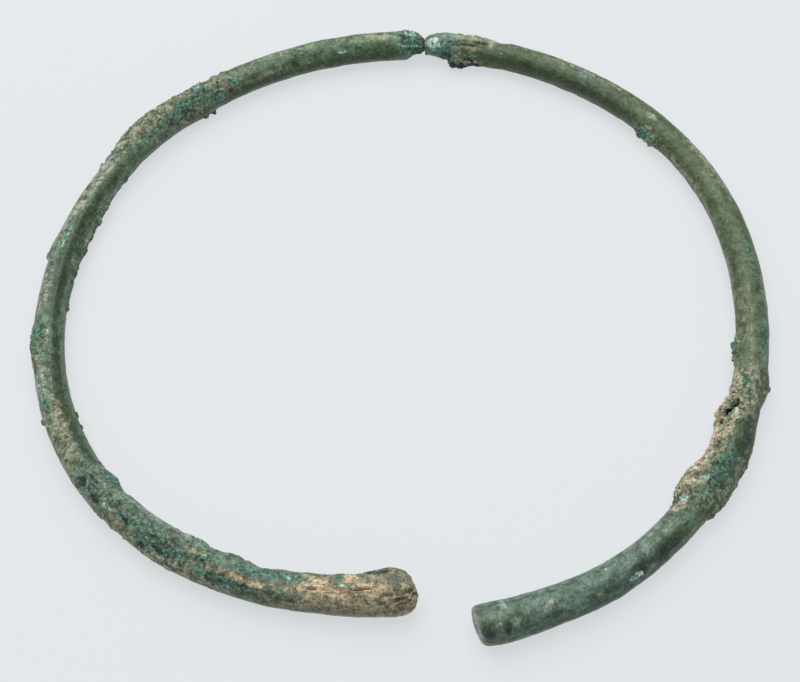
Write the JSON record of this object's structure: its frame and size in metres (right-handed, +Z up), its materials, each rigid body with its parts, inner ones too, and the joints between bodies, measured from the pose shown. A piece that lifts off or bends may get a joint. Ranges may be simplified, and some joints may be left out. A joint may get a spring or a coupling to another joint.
{
  "type": "armlet",
  "caption": "Open ring of plain round bronze rod worn on the arm, broken through at the back and crusted with green and earthy corrosion.",
  "frame": {"origin": "centre of the ring's bounding box on the ground under it", "axes": "+Z up out of the ring's plane, -Y towards the mouth between the terminals, +X across the ring to the right"},
  "size_m": [0.0904, 0.0876, 0.0049],
  "materials": {
    "crusted_patina": "corroded bronze, green patina under earthy crust",
    "smooth_patina": "corroded bronze, smooth olive green patina with crusted patches"
  },
  "bodies": {
    "root": {"left_fragment": "crusted_patina", "right_fragment": "smooth_patina"}
  },
  "joints": []
}
